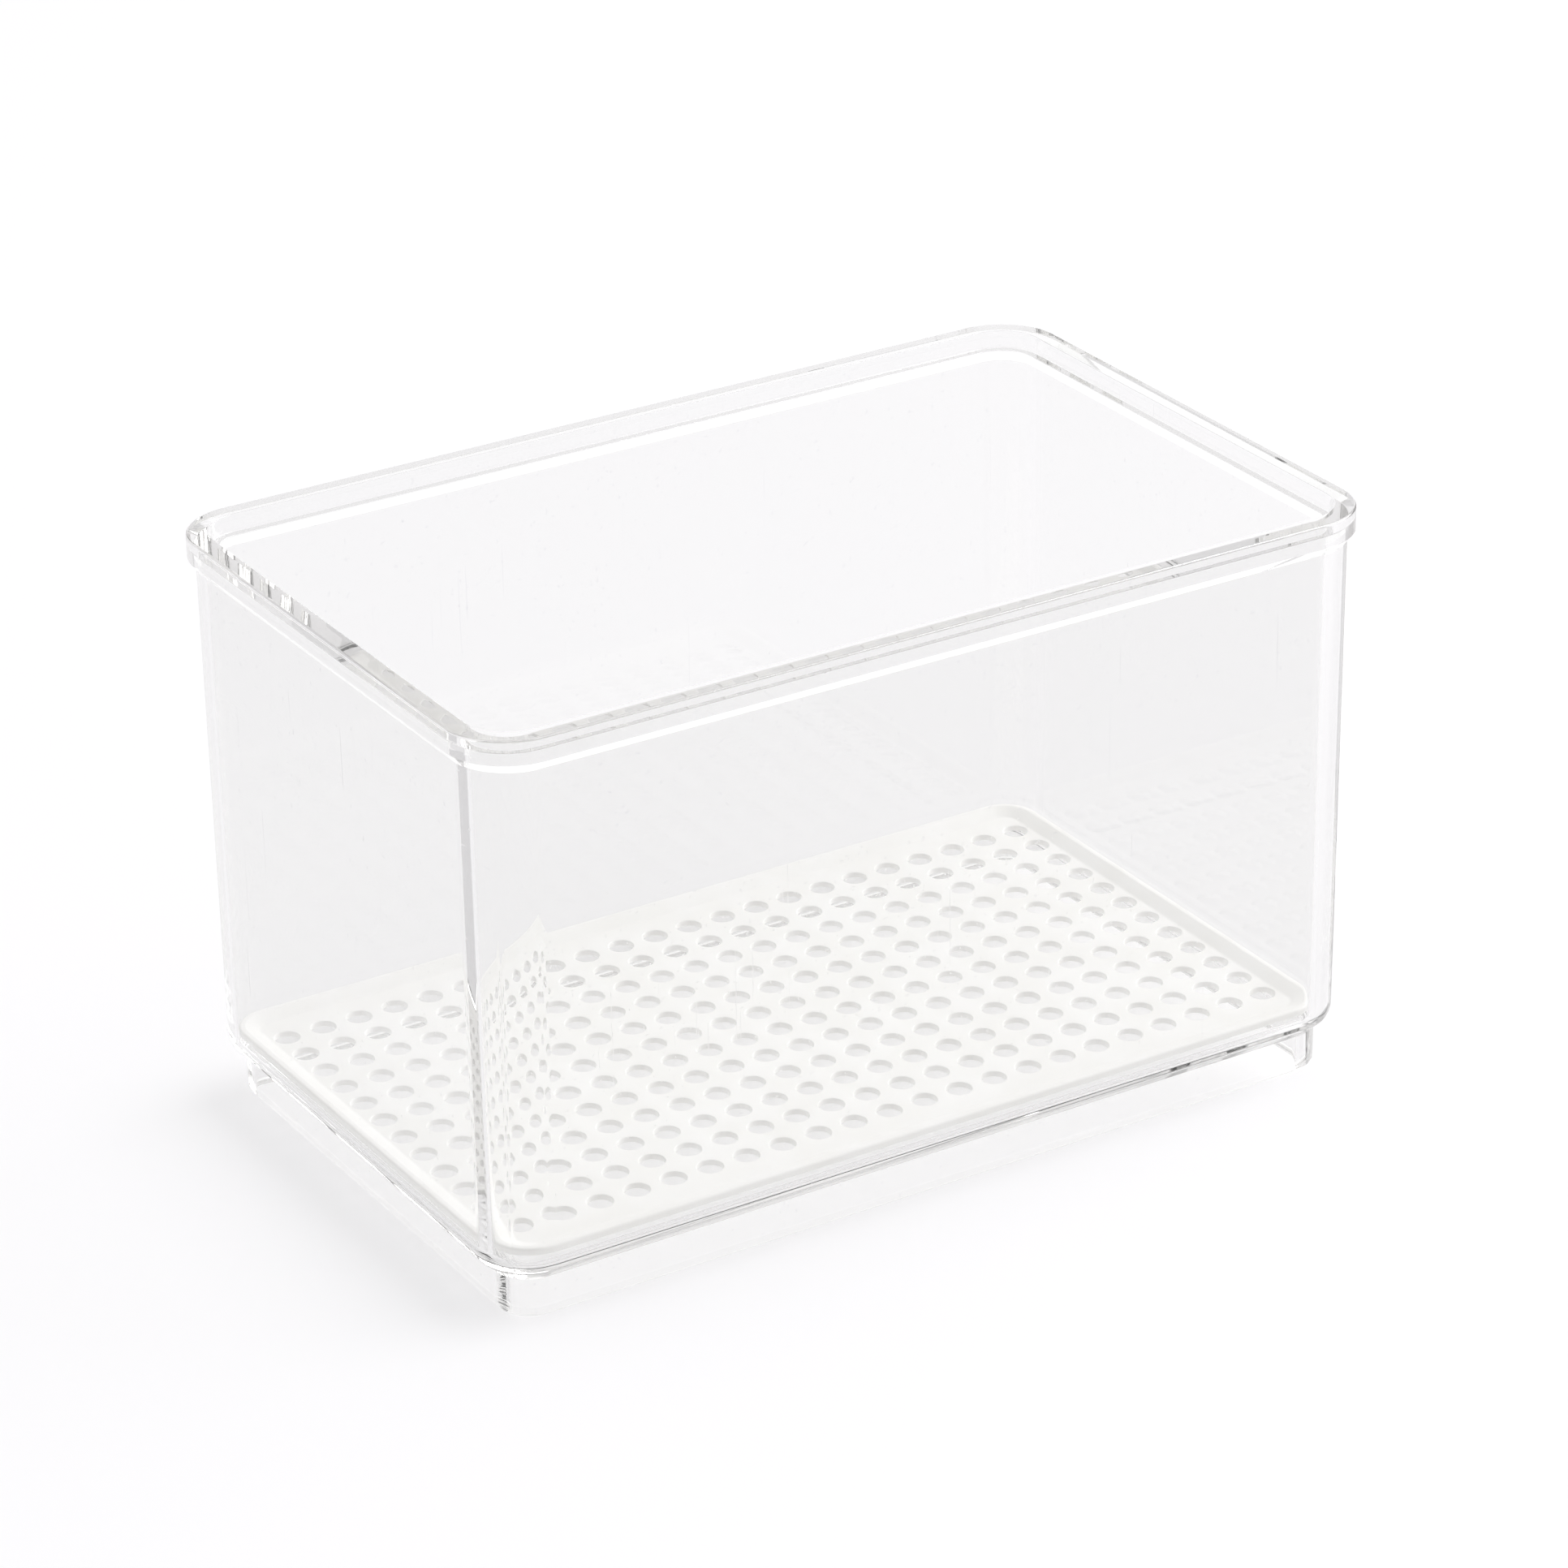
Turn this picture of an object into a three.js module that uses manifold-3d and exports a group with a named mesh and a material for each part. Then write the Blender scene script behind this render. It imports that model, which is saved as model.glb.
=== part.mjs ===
// Stackable clear storage bin with a lift-out drain tray.
// Millimetres, +Z up. Origin: centre of the footprint, on the surface the bin stands on.

import * as THREE from 'three';
import { mergeVertices } from 'three/addons/utils/BufferGeometryUtils.js';
import Module from 'manifold-3d';

const wasm = await Module();
wasm.setup();

// ---------------------------------------------------------------- driving dimensions

const BIN = { length: 160, width: 101.3, height: 98.1, cornerRadius: 10.6 };

const WALL = {
  outsetTop: 1.3,      // wall's outer face, in from the rim's outer face, under the rim
  outsetBottom: 1.7,   // the same at the base: the wall leans in as it goes down
  insetTop: 4.75,      // wall's inner face, in from the rim's outer face, under the lid seat
  insetBottom: 5.1,
};

const RIM = {
  edgeFillet: 0.45,    // outer top edge
  bandHeight: 3.9,     // upright outer band, fillet included
  slantHeight: 1.7,    // slope from the band in to the wall
  topWidth: 3.44,      // flat top face, out to the rim's outer face
  seatDepth: 2.95,     // lid seat, below the top face
};

const FOOT = {
  inset: 4.44,         // outer face, in from the rim's outer face
  height: 7.1,
  draft: 0.1,
  fillet: 1.5,         // outer bottom edge
  ringThickness: 3.0,
  recessDepth: 6.6,    // hollow under the floor
};

const SHOULDER = {     // where the wall turns in to the foot
  slopeTop: 9.3,
  slopeInset: 2.2,
  bendTop: 12.0,
  bendInset: 1.82,
  bendHeight: 10.6,
};

const FLOOR = { top: 9.3, filletRadius: 1.6 };

const TRAY = {
  inset: 5.4,          // outer face, in from the rim's outer face
  cornerRadius: 6,
  seatGap: 0.3,        // clearance above the floor
  skirtHeight: 0.8,    // plate's underside above the tray's lowest edge
  skirtInset: 2.6,     // in from the tray's outer face
  skirtWidth: 0.9,
  plateThickness: 1.0,
  lipHeight: 1.0,      // above the plate
  lipWidth: 1.0,       // flat top of the lip
  slopeWidth: 2.5,     // from the lip's flat top down to the plate
  edgeHeight: 1.3,     // upright outer face
  edgeWidth: 0.6,      // flat underside of the outer edge
  edgeRise: 0.2,       // plate's underside up to the start of the slope under the lip
};

const HOLES = { columns: 22, rows: 12, pitch: 6.52, diameter: 4.2, sides: 8 };

const CORNER_SEGMENTS = 6;   // facets in each rounded corner
const OVERCUT = 1;           // how far a cutting solid runs past the face it opens

// ---------------------------------------------------------------- solids

/** Rounded rectangle, centred on the origin, with one vertex at each end of its straight sides. */
function roundedRectangle(halfLength, halfWidth, radius) {
  const shape = new THREE.Shape();
  const x = halfLength - radius;
  const y = halfWidth - radius;
  shape.absarc(x, y, radius, 0, Math.PI / 2);
  shape.absarc(-x, y, radius, Math.PI / 2, Math.PI);
  shape.absarc(-x, -y, radius, Math.PI, 1.5 * Math.PI);
  shape.absarc(x, -y, radius, 1.5 * Math.PI, 2 * Math.PI);
  return shape;
}

/**
 * Closed solid whose plan is a rounded rectangle at every height.
 * Each profile point [inset, z] is one level: the outline moved in by inset, at height z.
 */
function loft(halfLength, halfWidth, radius, profile) {
  const steps = profile.length - 1;
  const geometry = new THREE.ExtrudeGeometry(roundedRectangle(halfLength, halfWidth, radius), {
    depth: steps, steps, bevelEnabled: false, curveSegments: CORNER_SEGMENTS,
  });
  const position = geometry.attributes.position;
  for (let i = 0; i < position.count; i += 1) {
    const [inset, z] = profile[Math.round(position.getZ(i))];
    const x = position.getX(i);
    const y = position.getY(i);
    const centreX = Math.sign(x) * (halfLength - radius);
    const centreY = Math.sign(y) * (halfWidth - radius);
    const keep = (radius - inset) / radius;
    position.setXYZ(i, centreX + (x - centreX) * keep, centreY + (y - centreY) * keep, z);
  }
  return geometry;
}

/** Points of a quarter circle as [inset, z], from angle start to end in quarter turns. */
function arc(centreInset, centreZ, radius, start, end, segments) {
  return Array.from({ length: segments + 1 }, (_, i) => {
    const angle = (start + ((end - start) * i) / segments) * (Math.PI / 2);
    return [centreInset - radius * Math.cos(angle), centreZ + radius * Math.sin(angle)];
  });
}

function toManifold(geometry) {
  const bare = geometry.clone();
  bare.deleteAttribute('normal');
  bare.deleteAttribute('uv');
  const merged = mergeVertices(bare, 1e-4);
  return new wasm.Manifold(new wasm.Mesh({
    numProp: 3,
    vertProperties: new Float32Array(merged.attributes.position.array),
    triVerts: new Uint32Array(merged.index.array),
  }));
}

function toGeometry(manifold) {
  const mesh = manifold.getMesh();
  const geometry = new THREE.BufferGeometry();
  geometry.setAttribute('position', new THREE.BufferAttribute(new Float32Array(mesh.vertProperties), 3));
  geometry.setIndex(new THREE.BufferAttribute(new Uint32Array(mesh.triVerts), 1));
  geometry.computeVertexNormals();
  return geometry;
}

// ---------------------------------------------------------------- bin

const binHalfLength = BIN.length / 2;
const binHalfWidth = BIN.width / 2;

function binLoft(profile) {
  return toManifold(loft(binHalfLength, binHalfWidth, BIN.cornerRadius, profile));
}

/** Foot, shoulder, wall and rim as one solid block. */
function binOutside() {
  const bandBottom = BIN.height - RIM.bandHeight;
  return binLoft([
    ...arc(FOOT.inset + FOOT.draft + FOOT.fillet, FOOT.fillet, FOOT.fillet, -1, 0, 3),
    [FOOT.inset, FOOT.height],
    [SHOULDER.slopeInset, SHOULDER.slopeTop],
    [SHOULDER.bendInset, SHOULDER.bendHeight],
    [WALL.outsetBottom, SHOULDER.bendTop],
    [WALL.outsetTop, bandBottom - RIM.slantHeight],
    [0, bandBottom],
    ...arc(RIM.edgeFillet, BIN.height - RIM.edgeFillet, RIM.edgeFillet, 0, 1, 2),
  ]);
}

/** The space for food, with the lid seat stepped into its mouth. */
function binInside() {
  const seat = BIN.height - RIM.seatDepth;
  return binLoft([
    ...arc(WALL.insetBottom + FLOOR.filletRadius, FLOOR.top + FLOOR.filletRadius, FLOOR.filletRadius, -1, 0, 3),
    [WALL.insetTop, seat],
    [RIM.topWidth, seat],
    [RIM.topWidth, BIN.height + OVERCUT],
  ]);
}

/** Hollow underside, which leaves the foot as a ring. */
function footRecess() {
  const inset = FOOT.inset + FOOT.ringThickness;
  return binLoft([
    [inset, -OVERCUT],
    [inset + FOOT.draft, FOOT.recessDepth],
  ]);
}

const binBody = binOutside().subtract(binInside()).subtract(footRecess());

// ---------------------------------------------------------------- drain tray

const trayHalfLength = binHalfLength - TRAY.inset;
const trayHalfWidth = binHalfWidth - TRAY.inset;
const trayBottom = FLOOR.top + TRAY.seatGap;
const plateBottom = trayBottom + TRAY.skirtHeight;
const plateTop = plateBottom + TRAY.plateThickness;
const lipTop = plateTop + TRAY.lipHeight;

function trayLoft(profile) {
  return toManifold(loft(trayHalfLength, trayHalfWidth, TRAY.cornerRadius, profile));
}

/** One cutting prism for each drain hole, in a rectangular grid. */
function drainHoles() {
  const shapes = [];
  for (let column = 0; column < HOLES.columns; column += 1) {
    for (let row = 0; row < HOLES.rows; row += 1) {
      const x = (column - (HOLES.columns - 1) / 2) * HOLES.pitch;
      const y = (row - (HOLES.rows - 1) / 2) * HOLES.pitch;
      shapes.push(new THREE.Shape().absarc(x, y, HOLES.diameter / 2, 0, 2 * Math.PI));
    }
  }
  const geometry = new THREE.ExtrudeGeometry(shapes, {
    depth: TRAY.plateThickness + 2 * OVERCUT,
    bevelEnabled: false,
    curveSegments: HOLES.sides / 2,
  });
  geometry.translate(0, 0, plateBottom - OVERCUT);
  return toManifold(geometry);
}

const traySolid = trayLoft([
  [TRAY.skirtInset, trayBottom],
  [TRAY.skirtInset, plateBottom + TRAY.edgeRise],
  [TRAY.edgeWidth, lipTop - TRAY.edgeHeight],
  [0, lipTop - TRAY.edgeHeight],
  [0, lipTop],
]);
const trayDish = trayLoft([
  [TRAY.lipWidth + TRAY.slopeWidth, plateTop],
  [TRAY.lipWidth, lipTop],
  [TRAY.lipWidth, lipTop + OVERCUT],
]);
const trayUnderside = trayLoft([
  [TRAY.skirtInset + TRAY.skirtWidth, trayBottom - OVERCUT],
  [TRAY.skirtInset + TRAY.skirtWidth, plateBottom],
]);
const drainTray = traySolid.subtract(trayDish).subtract(trayUnderside).subtract(drainHoles());

// ---------------------------------------------------------------- scene graph

const clearPlastic = new THREE.MeshStandardMaterial({
  color: 0xeef1f2, roughness: 0.08, metalness: 0, transparent: true, opacity: 0.3,
});
const whitePlastic = new THREE.MeshStandardMaterial({ color: 0xf4f4f1, roughness: 0.45, metalness: 0 });

function part(name, manifold, material) {
  const mesh = new THREE.Mesh(toGeometry(manifold), material);
  mesh.name = name;
  return mesh;
}

const fridgeBin = new THREE.Group();
fridgeBin.name = 'fridge_bin';
fridgeBin.add(part('bin_body', binBody, clearPlastic));
fridgeBin.add(part('drain_tray', drainTray, whitePlastic));

export default fridgeBin;
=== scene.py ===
"""The looks of a clear storage bin with a lift-out white drain tray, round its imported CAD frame."""
import cmath
import itertools
import math

import bpy
from mathutils import Euler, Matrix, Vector


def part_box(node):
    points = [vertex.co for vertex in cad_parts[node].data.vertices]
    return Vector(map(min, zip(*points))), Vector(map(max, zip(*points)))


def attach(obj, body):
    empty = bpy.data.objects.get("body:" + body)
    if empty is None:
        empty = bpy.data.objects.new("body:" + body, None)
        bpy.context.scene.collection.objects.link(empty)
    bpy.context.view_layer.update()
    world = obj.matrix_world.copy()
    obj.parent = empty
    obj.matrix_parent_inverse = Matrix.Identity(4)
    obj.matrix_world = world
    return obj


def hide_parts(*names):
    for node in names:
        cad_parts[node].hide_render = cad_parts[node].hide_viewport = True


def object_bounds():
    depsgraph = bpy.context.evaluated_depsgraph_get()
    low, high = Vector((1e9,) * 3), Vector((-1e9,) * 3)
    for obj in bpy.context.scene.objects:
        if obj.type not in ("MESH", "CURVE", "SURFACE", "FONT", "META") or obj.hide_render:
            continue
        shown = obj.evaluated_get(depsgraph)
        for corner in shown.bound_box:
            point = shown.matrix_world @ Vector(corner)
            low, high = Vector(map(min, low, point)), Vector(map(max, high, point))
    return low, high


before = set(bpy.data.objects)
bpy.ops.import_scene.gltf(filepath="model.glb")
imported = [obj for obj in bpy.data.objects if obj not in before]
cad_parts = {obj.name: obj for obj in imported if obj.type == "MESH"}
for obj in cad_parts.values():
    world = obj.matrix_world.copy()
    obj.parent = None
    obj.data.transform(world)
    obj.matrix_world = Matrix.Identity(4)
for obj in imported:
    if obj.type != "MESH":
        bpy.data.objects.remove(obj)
cad_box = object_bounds()

MM = 0.001

# ------------------------------------------------------------ driving dimensions, in millimetres

bin_low, bin_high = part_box("bin_body")
tray_low, tray_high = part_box("drain_tray")

BIN_HALF = (bin_high.x / MM, bin_high.y / MM)
BIN_TOP = bin_high.z / MM
BIN_CORNER = 10.6            # radius of the rim's outer corner

WALL_TOP_OUT, WALL_TOP_IN = 1.3, 4.75        # wall faces under the rim, in from the rim's outer face
WALL_BASE_OUT, WALL_BASE_IN = 1.72, 5.1      # the same at the base
RIM_BAND = 3.9               # height of the upright outer band
RIM_SLOPE = 1.7              # height of the slope from the band in to the wall
RIM_WIDTH = 3.44
SEAT_DEPTH = 2.95            # lid seat, below the rim's top face
SHOULDER_TOP = 11.0          # where the wall starts to turn in to the foot
SHOULDER_SLOPE = (2.25, 9.3)  # top of the 45 degree slope: inset and height
FOOT_INSET, FOOT_HEIGHT, FOOT_RING = 4.44, 7.1, 3.0
FOOT_DRAFT = 0.1
RECESS_DEPTH = 6.6           # hollow under the floor
FLOOR_TOP = 9.3
FLOOR_FLAT, HOLLOW_FLAT = 7.6, 8.6  # where the flat floor and the flat hollow start, in from the rim

TRAY_HALF = (tray_high.x / MM, tray_high.y / MM)
TRAY_BOTTOM, TRAY_TOP = tray_low.z / MM, tray_high.z / MM
TRAY_CORNER = 6.0
LIP_TOP_WIDTH = 1.0          # flat top of the lip
LIP_FOOT = 3.5               # where the lip's inner slope meets the plate, in from the tray's outer face
LIP_EDGE = 1.3               # height of the tray's upright outer face
LIP_UNDER = 0.6              # flat underside of the outer edge
EDGE_RISE = 0.2              # plate's underside up to the start of the slope under the lip
SKIRT_OUT, SKIRT_IN = 2.6, 3.5
SKIRT_HEIGHT = 0.8
PLATE = 1.0                  # thickness
FIELD_INSET = 3.85           # where the flat perforated field ends, in from the tray's outer face

HOLE_COLUMNS, HOLE_ROWS = 22, 12
HOLE_PITCH, HOLE_RADIUS = 6.52, 2.1
HOLE_ROUNDING = 0.15
HOLE_MARGIN = 1.0            # flat ring that leads into the rounded edge of a hole
HOLE_EDGE_STEPS = 8          # points along each side of the square round a hole
CORNER_EDGE_STEPS = 48       # the same where the field's corner is round

CORNER_STEPS = 28            # facets in a rounded corner of the bin
PARTING_SHARE = 0.008        # half width of the mould's parting line, as a share of the corner
PARTING_HEIGHT = 0.05
PARTING_END = 0.5            # lowest point of the parting line
FILLET_STEPS = 5

SAME_POINT_DIGITS = 4        # points that agree to this many decimals of a millimetre are one vertex
BISECTIONS = 40
BEYOND_FIELD = 20.0          # further than any edge of the field from the hole next to it

# ------------------------------------------------------------ driving looks

CLEAR_TINT = (0.930, 0.930, 0.927)
WORN_TINT = (0.86, 0.86, 0.87)
BASE_ZONE = (0.0105, 0.0125)  # heights in metres over which the base gives way to the walls
RIM_ZONE = (0.0925, 0.0935)  # and the walls to the rim
TRAPPED_DEPTH = (12, 6)      # bounces after which trapped light is let out: rim and base, then walls
BASE_SHADED_EXIT, WALL_EXIT = 0.2, 0.9  # share of trapped light that each surface then lets on; the low share at the base is painted shade that darkens the base band
RIM_SHADED_EXIT = 0.4               # the same in the rim, as a share of the walls': painted shade that darkens the rim
LAMP_PASS = 0.966            # share of a lamp's light that each surface lets on
FLOOR_PAPER = (0.375, 0.368, 0.380, 1)
FLOOR_GLOW_AND_POOL = (0.565, 0.69)   # even glow around the bin, and a brighter painted pool of light under it
PAINTED_POOL_EDGE = (-4.0, 0.5)      # where the painted pool of light fades into the even glow, in millimetres out from the foot
FLOOR_REACH = 4.0            # metres

CAMERA_TURN = (-31.381, 25.575, -0.928)  # azimuth, elevation and roll in degrees
CAMERA_TARGET = (-4.475, -9.586, 57.034)
CAMERA_DISTANCE = 909.67
CAMERA_LENS, CAMERA_SENSOR = 133.62, 36

DARK_OVERHEAD = ((-0.295, -0.49, 0.819), 0.6, 0.95, 1.1, 0.05)  # direction, where it starts and is full
BRIGHT_BEHIND = ((0.47, 0.77, 0.43), 0.8, 0.95, 1.0, 1.15)      # as cosines, brightness outside and inside
KEY_PLACE, KEY_SIZE, KEY_POWER = (1.35, -0.25, 1.15), 1.3, 26   # metres and watts


# ------------------------------------------------------------ outlines and meshes

def rounded_profile(corners):
    """The polyline through corners (inset, z, radius), with each corner rounded by its radius."""
    points = []
    places = [complex(inset, z) for inset, z, _ in corners]
    for i, (_, _, radius) in enumerate(corners):
        here = places[i]
        if radius == 0:
            points.append(here)
            continue
        back = places[i - 1] - here
        ahead = places[i + 1] - here
        back, ahead = back / abs(back), ahead / abs(ahead)
        half = abs(cmath.phase(ahead / back)) / 2
        centre = here + (back + ahead) / abs(back + ahead) * radius / math.sin(half)
        start = here + back * radius / math.tan(half) - centre
        end = here + ahead * radius / math.tan(half) - centre
        turn = cmath.phase(end / start)
        points += [
            centre + start * cmath.exp(1j * turn * k / FILLET_STEPS) for k in range(FILLET_STEPS + 1)
        ]
    return [(p.real, p.imag) for p in points]


def rounded_rectangle(half, radius, steps):
    """
    Points of a rounded rectangle, counter-clockwise, with steps facets in each corner.
    A narrow pair of points stands each side of a corner's middle, for the mould's parting line.
    """
    shares = sorted([k / steps for k in range(steps + 1)] + [0.5 - PARTING_SHARE, 0.5 + PARTING_SHARE])
    points = []
    for corner in range(4):
        side_x = 1 if corner in (0, 3) else -1
        side_y = 1 if corner in (0, 1) else -1
        for share in shares:
            angle = (corner + share) * math.pi / 2
            points.append((
                side_x * (half[0] - radius) + radius * math.cos(angle),
                side_y * (half[1] - radius) + radius * math.sin(angle),
            ))
    return points


def moved_in(outline, half, radius, inset):
    """
    A rounded rectangle's points, moved in by inset.
    They go straight in from a side, and towards the centre of a corner.
    """
    moved = []
    for x, y in outline:
        core_x = max(-(half[0] - radius), min(half[0] - radius, x))
        core_y = max(-(half[1] - radius), min(half[1] - radius, y))
        reach = math.hypot(x - core_x, y - core_y)
        share = (radius - inset) / reach
        moved.append((core_x + (x - core_x) * share, core_y + (y - core_y) * share))
    return moved


def strip(first, second):
    """Quads between two closed rings of vertex numbers."""
    return [(first[k - 1], first[k], second[k], second[k - 1]) for k in range(len(first))]


def piece(name, verts, faces, body, node, material):
    """A smooth mesh object from millimetre points, riding on its body in place of its CAD node."""
    mesh = bpy.data.meshes.new(name)
    mesh.from_pydata([Vector(v) * MM for v in verts], [], faces)
    mesh.validate()
    mesh.shade_smooth()
    mesh.materials.append(material)
    obj = bpy.data.objects.new(name, mesh)
    bpy.context.scene.collection.objects.link(obj)
    weighted = obj.modifiers.new("flat_faces_stay_flat", "WEIGHTED_NORMAL")
    weighted.mode = "FACE_AREA"
    weighted.weight = 100
    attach(obj, body)
    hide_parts(node)
    return obj


# ------------------------------------------------------------ bin

def bin_profile():
    """Section of the bin: from its floor up the inside, over the rim and down to the foot's hollow."""
    band_bottom = BIN_TOP - RIM_BAND
    seat = BIN_TOP - SEAT_DEPTH
    ring_inner = FOOT_INSET + FOOT_RING
    return rounded_profile([
        (FLOOR_FLAT, FLOOR_TOP, 0),
        (WALL_BASE_IN, FLOOR_TOP, 1.6),
        (WALL_TOP_IN, seat, 0.2),
        (RIM_WIDTH, seat, 0.2),
        (RIM_WIDTH, BIN_TOP, 0.15),
        (0, BIN_TOP, 0.45),
        (0, band_bottom, 0.25),
        (WALL_TOP_OUT, band_bottom - RIM_SLOPE, 0.3),
        (WALL_BASE_OUT, SHOULDER_TOP, 6.0),
        (*SHOULDER_SLOPE, 1.2),
        (FOOT_INSET, FOOT_HEIGHT, 0.2),
        (FOOT_INSET + FOOT_DRAFT, 0, 1.5),
        (ring_inner, 0, 0.4),
        (ring_inner + FOOT_DRAFT, RECESS_DEPTH, 0.6),
        (HOLLOW_FLAT, RECESS_DEPTH, 0),
    ])


def make_bin(material):
    """The clear moulding, with its parting line raised down the outside of each corner."""
    outline = rounded_rectangle(BIN_HALF, BIN_CORNER, CORNER_STEPS)
    profile = bin_profile()
    count = len(outline)
    middles = [corner * count // 4 + (CORNER_STEPS + 2) // 2 for corner in range(4)]
    rim_top = max(range(len(profile)), key=lambda i: profile[i][1])
    verts = []
    for i, (inset, z) in enumerate(profile):
        ring = moved_in(outline, BIN_HALF, BIN_CORNER, inset)
        outside = i > rim_top and inset < FOOT_INSET + FOOT_RING / 2
        if outside and BIN_TOP - RIM_BAND > z > PARTING_END:
            raised = moved_in(outline, BIN_HALF, BIN_CORNER, inset - PARTING_HEIGHT)
            for middle in middles:
                ring[middle] = raised[middle]
        verts += [(x, y, z) for x, y in ring]
    rings = [range(i * count, (i + 1) * count) for i in range(len(profile))]
    faces = [tuple(rings[0]), tuple(reversed(rings[-1]))]
    for lower, upper in zip(rings, rings[1:]):
        faces += strip(upper, lower)
    return piece("bin_moulding", verts, faces, "bin", "bin_body", material)


# ------------------------------------------------------------ drain tray

def field_edge(origin, target):
    """The last point from origin to target inside the rounded rectangle of the perforated field."""
    half = [h - FIELD_INSET for h in TRAY_HALF]
    radius = TRAY_CORNER - FIELD_INSET
    low, high = 0.0, 1.0
    for _ in range(BISECTIONS):
        middle = (low + high) / 2
        x = abs(origin[0] + (target[0] - origin[0]) * middle)
        y = abs(origin[1] + (target[1] - origin[1]) * middle)
        core_x, core_y = x - (half[0] - radius), y - (half[1] - radius)
        outside = max(x - half[0], y - half[1]) > 0 or (
            min(core_x, core_y) > 0 and math.hypot(core_x, core_y) > radius
        )
        low, high = (low, middle) if outside else (middle, high)
    return (
        origin[0] + (target[0] - origin[0]) * low,
        origin[1] + (target[1] - origin[1]) * low,
    )


def cell_corners(column, row):
    """
    The corners of the plate's share round one hole, counter-clockwise, and which of its sides are
    on the field's edge.
    """
    edges = []
    for index, count, half in ((column, HOLE_COLUMNS, TRAY_HALF[0]), (row, HOLE_ROWS, TRAY_HALF[1])):
        middle = (index - (count - 1) / 2) * HOLE_PITCH
        low = -(half - FIELD_INSET) if index == 0 else middle - HOLE_PITCH / 2
        high = half - FIELD_INSET if index == count - 1 else middle + HOLE_PITCH / 2
        edges.append((low, high))
    (x0, x1), (y0, y1) = edges
    corners = [(x1, y0), (x1, y1), (x0, y1), (x0, y0)]
    outer = [column == HOLE_COLUMNS - 1, row == HOLE_ROWS - 1, column == 0, row == 0]
    return corners, outer


def cell_border(centre, column, row):
    """Points round one hole's share of the plate: place, angle from the hole, whether on the field's edge."""
    corners, outer = cell_corners(column, row)
    if any(outer):
        corners = [field_edge(centre, corner) for corner in corners]
    border = []
    for side in range(4):
        here, after = corners[side], corners[(side + 1) % 4]
        start = cmath.phase(complex(here[0] - centre[0], here[1] - centre[1]))
        end = cmath.phase(complex(after[0] - centre[0], after[1] - centre[1]))
        sweep = (end - start) % (2 * math.pi)
        steps = CORNER_EDGE_STEPS if outer[side] and sum(outer) == 2 else HOLE_EDGE_STEPS
        for k in range(steps):
            angle = start + sweep * k / steps
            way = (math.cos(angle), math.sin(angle))
            if k == 0:
                point = here
            elif outer[side]:
                point = field_edge(centre, [c + w * BEYOND_FIELD for c, w in zip(centre, way)])
            else:
                across = side % 2
                share = (here[across] - centre[across]) / way[across]
                point = (centre[0] + way[0] * share, centre[1] + way[1] * share)
            border.append((point, angle, outer[side] or (k == 0 and outer[side - 1])))
    return border


def tray_edge_profile(plate_bottom, plate_top):
    """Section of the tray's edge: from the plate up over the lip, down round the skirt and back."""
    return rounded_profile([
        (FIELD_INSET, plate_top, 0),
        (LIP_FOOT, plate_top, 1.5),
        (LIP_TOP_WIDTH, TRAY_TOP, 0.8),
        (0, TRAY_TOP, 0.4),
        (0, TRAY_TOP - LIP_EDGE, 0.3),
        (LIP_UNDER, TRAY_TOP - LIP_EDGE, 0.3),
        (SKIRT_OUT, plate_bottom + EDGE_RISE, 0.1),
        (SKIRT_OUT, TRAY_BOTTOM, 0.25),
        (SKIRT_IN, TRAY_BOTTOM, 0.25),
        (SKIRT_IN, plate_bottom, 0.15),
        (FIELD_INSET, plate_bottom, 0),
    ])


def make_tray(material):
    """The white moulding: a plate pierced hole by hole, then its edge joined on all round."""
    verts, faces, known = [], [], {}

    def vertex(x, y, z):
        key = tuple(round(value, SAME_POINT_DIGITS) for value in (x, y, z))
        if key not in known:
            known[key] = len(verts)
            verts.append((x, y, z))
        return known[key]

    plate_bottom = TRAY_BOTTOM + SKIRT_HEIGHT
    plate_top = plate_bottom + PLATE
    tube = rounded_profile([
        (HOLE_RADIUS + HOLE_MARGIN, plate_top, 0),
        (HOLE_RADIUS, plate_top, HOLE_ROUNDING),
        (HOLE_RADIUS, plate_bottom, HOLE_ROUNDING),
        (HOLE_RADIUS + HOLE_MARGIN, plate_bottom, 0),
    ])[1:-1]
    rim = set()
    for column, row in itertools.product(range(HOLE_COLUMNS), range(HOLE_ROWS)):
        x = (column - (HOLE_COLUMNS - 1) / 2) * HOLE_PITCH
        y = (row - (HOLE_ROWS - 1) / 2) * HOLE_PITCH
        border = cell_border((x, y), column, row)
        rings = [[vertex(*point, plate_top) for point, _, _ in border]]
        for reach, z in tube:
            rings.append([
                vertex(x + reach * math.cos(angle), y + reach * math.sin(angle), z) for _, angle, _ in border
            ])
        rings.append([vertex(*point, plate_bottom) for point, _, _ in border])
        for upper, lower in zip(rings, rings[1:]):
            faces += strip(upper, lower)
        edge_points = [point for point, _, on_edge in border if on_edge]
        rim.update(tuple(round(value, SAME_POINT_DIGITS) for value in point) for point in edge_points)

    rim = sorted(rim, key=lambda point: math.atan2(point[1], point[0]))
    profile = tray_edge_profile(plate_bottom, plate_top)
    rings = [
        [vertex(x, y, z) for x, y in moved_in(rim, TRAY_HALF, TRAY_CORNER, inset)] for inset, z in profile
    ]
    for inner, outer in zip(rings, rings[1:]):
        faces += strip(outer, inner)
    return piece("tray_moulding", verts, faces, "tray", "drain_tray", material)


# ------------------------------------------------------------ materials

def new_material(name):
    """A material with nothing in it but its output."""
    material = bpy.data.materials.new(name)
    material.use_nodes = True
    tree = material.node_tree
    tree.nodes.clear()
    output = tree.nodes.new("ShaderNodeOutputMaterial")
    return material, tree, output


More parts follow.
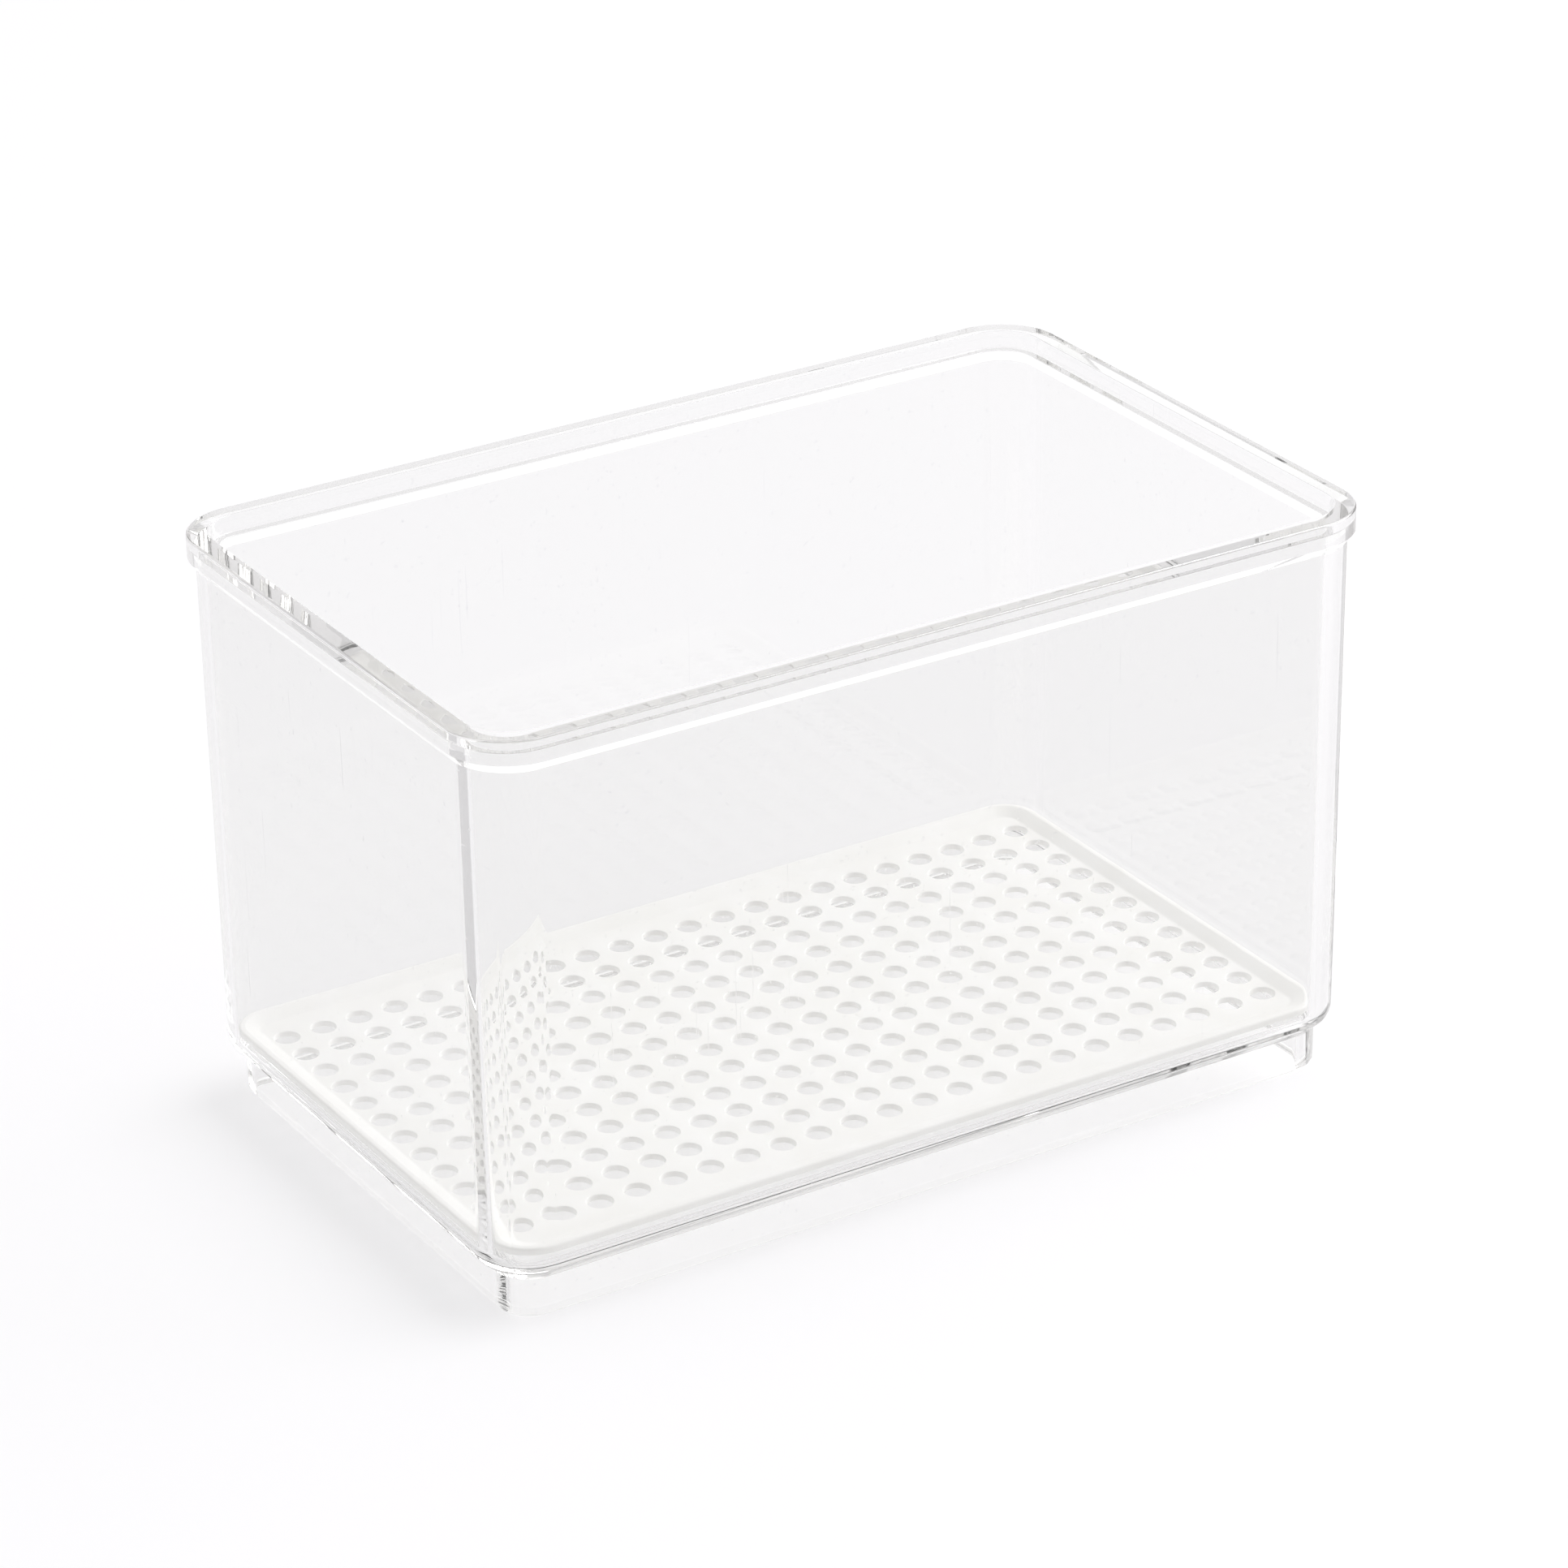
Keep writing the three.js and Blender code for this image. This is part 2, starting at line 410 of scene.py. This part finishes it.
def grain(tree, stretched, size, detail=2.0):
    """Noise about size millimetres across, stretched along X, Y and Z."""
    place = tree.nodes.new("ShaderNodeTexCoord")
    stretch = tree.nodes.new("ShaderNodeMapping")
    stretch.inputs["Scale"].default_value = [1 / (share * MM) for share in stretched]
    noise = tree.nodes.new("ShaderNodeTexNoise")
    noise.inputs["Scale"].default_value = 1 / size
    noise.inputs["Detail"].default_value = detail
    tree.links.new(place.outputs["Object"], stretch.inputs["Vector"])
    tree.links.new(stretch.outputs[0], noise.inputs["Vector"])
    return noise.outputs["Fac"]


def banded(tree, value, low, high, at_low, at_high):
    """The value run smoothly from at_low to at_high as it goes from low to high."""
    ramp = tree.nodes.new("ShaderNodeMapRange")
    ramp.interpolation_type = "SMOOTHSTEP"
    for name, number in zip(("From Min", "From Max", "To Min", "To Max"), (low, high, at_low, at_high)):
        ramp.inputs[name].default_value = number
    tree.links.new(value, ramp.inputs["Value"])
    return ramp.outputs[0]


def calculated(tree, operation, *values):
    """One math step on the values."""
    step = tree.nodes.new("ShaderNodeMath")
    step.operation = operation
    for value, socket in zip(values, step.inputs):
        tree.links.new(value, socket)
    return step.outputs[0]


def object_place(tree):
    """X, Y and Z in the object's own metres."""
    place = tree.nodes.new("ShaderNodeTexCoord")
    axes = tree.nodes.new("ShaderNodeSeparateXYZ")
    tree.links.new(place.outputs["Object"], axes.inputs[0])
    return axes.outputs


def relief(tree, height, depth, below=None):
    """Bumps depth millimetres high, on top of those below."""
    bump = tree.nodes.new("ShaderNodeBump")
    bump.inputs["Distance"].default_value = depth * MM
    tree.links.new(height, bump.inputs["Height"])
    if below is not None:
        tree.links.new(below, bump.inputs["Normal"])
    return bump.outputs[0]


def tinted(tree, amount, low, high):
    """The colour low where amount is 0, and high where it is 1."""
    mix = tree.nodes.new("ShaderNodeMix")
    mix.data_type = "RGBA"
    mix.inputs[6].default_value = (*low, 1)
    mix.inputs[7].default_value = (*high, 1)
    tree.links.new(amount, mix.inputs[0])
    return mix.outputs[2]


def clear_plastic():
    """
    Clear moulded plastic: faint flow ripples, and fine upright scratches that catch the light.
    Light from a lamp goes straight through. So does light that has bounced inside for too long, dimmed
    according to the height where it leaves: painted shade that darkens the base band and the rim.
    """
    material, tree, output = new_material("clear_plastic")
    nodes, links = tree.nodes, tree.links

    ripple = grain(tree, (1, 1, 1.6), 24, detail=1.0)
    drag_marks = banded(tree, grain(tree, (0.35, 0.35, 30), 1, detail=1.0), 0.74, 0.80, 0, 1)
    patches = banded(tree, grain(tree, (1, 1, 1.5), 22), 0.48, 0.62, 0, 1)
    scratches = calculated(tree, "MULTIPLY", drag_marks, patches)
    specks = banded(tree, grain(tree, (1, 1, 1), 0.7, detail=0.0), 0.80, 0.84, 0, 1)
    wear = calculated(tree, "MAXIMUM", scratches, specks)

    shell = nodes.new("ShaderNodeBsdfPrincipled")
    links.new(tinted(tree, wear, CLEAR_TINT, WORN_TINT), shell.inputs["Base Color"])
    links.new(relief(tree, wear, 0.004, relief(tree, ripple, 0.006)), shell.inputs["Normal"])
    shell.inputs["Transmission Weight"].default_value = 1
    shell.inputs["IOR"].default_value = 1.57
    shell.inputs["Roughness"].default_value = 0.0

    path = nodes.new("ShaderNodeLightPath").outputs
    height = object_place(tree)["Z"]
    in_wall = calculated(
        tree, "MULTIPLY", banded(tree, height, *BASE_ZONE, 0, 1), banded(tree, height, *RIM_ZONE, 1, 0)
    )
    limit = banded(tree, in_wall, 0, 1, *TRAPPED_DEPTH)
    trapped = calculated(tree, "GREATER_THAN", path["Ray Depth"], limit)
    from_lamp = calculated(tree, "MAXIMUM", path["Is Shadow Ray"], path["Is Diffuse Ray"])
    # Dimming of escaping trapped light by height: painted shade, darker at the base band and the rim.
    painted_exit_shade = calculated(
        tree, "MULTIPLY",
        banded(tree, height, *BASE_ZONE, BASE_SHADED_EXIT, WALL_EXIT), banded(tree, height, *RIM_ZONE, 1, RIM_SHADED_EXIT),
    )
    passed = nodes.new("ShaderNodeMix")
    passed.inputs[2].default_value = LAMP_PASS
    links.new(trapped, passed.inputs[0])
    links.new(painted_exit_shade, passed.inputs[3])
    straight_on = nodes.new("ShaderNodeBsdfTransparent")
    links.new(passed.outputs[0], straight_on.inputs["Color"])
    mix = nodes.new("ShaderNodeMixShader")
    links.new(calculated(tree, "MAXIMUM", from_lamp, trapped), mix.inputs[0])
    links.new(shell.outputs[0], mix.inputs[1])
    links.new(straight_on.outputs[0], mix.inputs[2])
    links.new(mix.outputs[0], output.inputs["Surface"])

    haze = nodes.new("ShaderNodeVolumeAbsorption")
    haze.inputs["Color"].default_value = (0.60, 0.585, 0.565, 1)
    haze.inputs["Density"].default_value = 6.0
    links.new(haze.outputs[0], output.inputs["Volume"])
    return material


def white_plastic():
    """Milky white plastic with a satin skin."""
    material, tree, output = new_material("white_plastic")
    nodes, links = tree.nodes, tree.links
    cloud = grain(tree, (1, 1, 1), 7, detail=3.0)
    satin = grain(tree, (1, 1, 1), 0.35, detail=2.0)
    skin = nodes.new("ShaderNodeBsdfPrincipled")
    clouded = banded(tree, cloud, 0.35, 0.65, 0, 1)
    links.new(tinted(tree, clouded, (0.955, 0.95, 0.935), (0.975, 0.972, 0.965)), skin.inputs["Base Color"])
    links.new(banded(tree, cloud, 0.3, 0.7, 0.34, 0.46), skin.inputs["Roughness"])
    skin.inputs["IOR"].default_value = 1.5
    links.new(relief(tree, satin, 0.012, relief(tree, cloud, 0.05)), skin.inputs["Normal"])
    glow = nodes.new("ShaderNodeBsdfTranslucent")
    glow.inputs["Color"].default_value = (0.97, 0.965, 0.95, 1)
    mix = nodes.new("ShaderNodeMixShader")
    mix.inputs[0].default_value = 0.3
    links.new(skin.outputs[0], mix.inputs[1])
    links.new(glow.outputs[0], mix.inputs[2])
    links.new(mix.outputs[0], output.inputs["Surface"])
    return material


def floor_material():
    """White paper glowing softly as if lit from below, with a brighter painted pool of light under the bin.
    """
    material, tree, output = new_material("pale_floor")
    paper = tree.nodes.new("ShaderNodeBsdfPrincipled")
    paper.inputs["Base Color"].default_value = FLOOR_PAPER
    paper.inputs["Roughness"].default_value = 0.8
    paper.inputs["Specular IOR Level"].default_value = 0.0
    paper.inputs["Emission Color"].default_value = (1, 1, 1, 1)
    # Emission strength rises under the bin: a painted pool of light on the floor.
    place = object_place(tree)
    shares = []
    for axis, half in zip("XY", BIN_HALF):
        edge = [(half - FOOT_INSET + out) * MM for out in PAINTED_POOL_EDGE]
        shares.append(banded(tree, calculated(tree, "ABSOLUTE", place[axis]), *edge, 1, 0))
    painted_pool_glow = banded(tree, calculated(tree, "MULTIPLY", *shares), 0, 1, *FLOOR_GLOW_AND_POOL)
    tree.links.new(painted_pool_glow, paper.inputs["Emission Strength"])
    tree.links.new(paper.outputs[0], output.inputs["Surface"])
    return material


# ------------------------------------------------------------ floor, light and camera

def make_floor():
    corners = [(x * FLOOR_REACH, y * FLOOR_REACH, 0) for x, y in ((-1, -1), (1, -1), (1, 1), (-1, 1))]
    mesh = bpy.data.meshes.new("floor")
    mesh.from_pydata(corners, [], [(0, 1, 2, 3)])
    mesh.materials.append(floor_material())
    obj = bpy.data.objects.new("floor", mesh)
    bpy.context.scene.collection.objects.link(obj)
    obj.location.z = cad_box[0].z


def make_key_light():
    """One square softbox, aimed at the origin."""
    data = bpy.data.lights.new("key", "AREA")
    data.shape = "RECTANGLE"
    data.size = data.size_y = KEY_SIZE
    data.energy = KEY_POWER
    obj = bpy.data.objects.new("key", data)
    bpy.context.scene.collection.objects.link(obj)
    obj.location = KEY_PLACE
    obj.rotation_euler = (-Vector(KEY_PLACE)).to_track_quat("-Z", "Y").to_euler()


def make_world():
    """White studio surroundings, darker overhead and a little brighter behind the bin."""
    world = bpy.data.worlds.new("studio")
    bpy.context.scene.world = world
    world.use_nodes = True
    tree = world.node_tree
    tree.nodes.clear()
    output = tree.nodes.new("ShaderNodeOutputWorld")
    background = tree.nodes.new("ShaderNodeBackground")
    direction = tree.nodes.new("ShaderNodeTexCoord")
    patches = []
    for centre, *brightness in (DARK_OVERHEAD, BRIGHT_BEHIND):
        near = tree.nodes.new("ShaderNodeVectorMath")
        near.operation = "DOT_PRODUCT"
        near.inputs[1].default_value = centre
        tree.links.new(direction.outputs["Generated"], near.inputs[0])
        patches.append(banded(tree, near.outputs["Value"], *brightness))
    background.inputs["Color"].default_value = (1, 1, 1, 1)
    tree.links.new(calculated(tree, "MULTIPLY", *patches), background.inputs["Strength"])
    tree.links.new(background.outputs[0], output.inputs[0])


def make_camera():
    data = bpy.data.cameras.new("camera")
    data.lens = CAMERA_LENS
    data.sensor_width = CAMERA_SENSOR
    obj = bpy.data.objects.new("camera", data)
    bpy.context.scene.collection.objects.link(obj)
    azimuth, elevation, roll = (math.radians(angle) for angle in CAMERA_TURN)
    back = Vector((
        math.sin(azimuth) * math.cos(elevation),
        -math.cos(azimuth) * math.cos(elevation),
        math.sin(elevation),
    ))
    obj.location = (Vector(CAMERA_TARGET) + back * CAMERA_DISTANCE) * MM
    turn = (-back).to_track_quat("-Z", "Y").to_matrix() @ Euler((0, 0, roll)).to_matrix()
    obj.rotation_euler = turn.to_euler()
    bpy.context.scene.camera = obj


make_bin(clear_plastic())
make_tray(white_plastic())
make_floor()
make_world()
make_camera()
make_key_light()

scene = bpy.context.scene
scene.view_settings.view_transform = "Standard"
scene.cycles.max_bounces = 40
scene.cycles.transmission_bounces = 40
scene.cycles.glossy_bounces = 24
scene.cycles.diffuse_bounces = 6
scene.cycles.transparent_max_bounces = 40
scene.cycles.caustics_reflective = False
scene.cycles.caustics_refractive = False
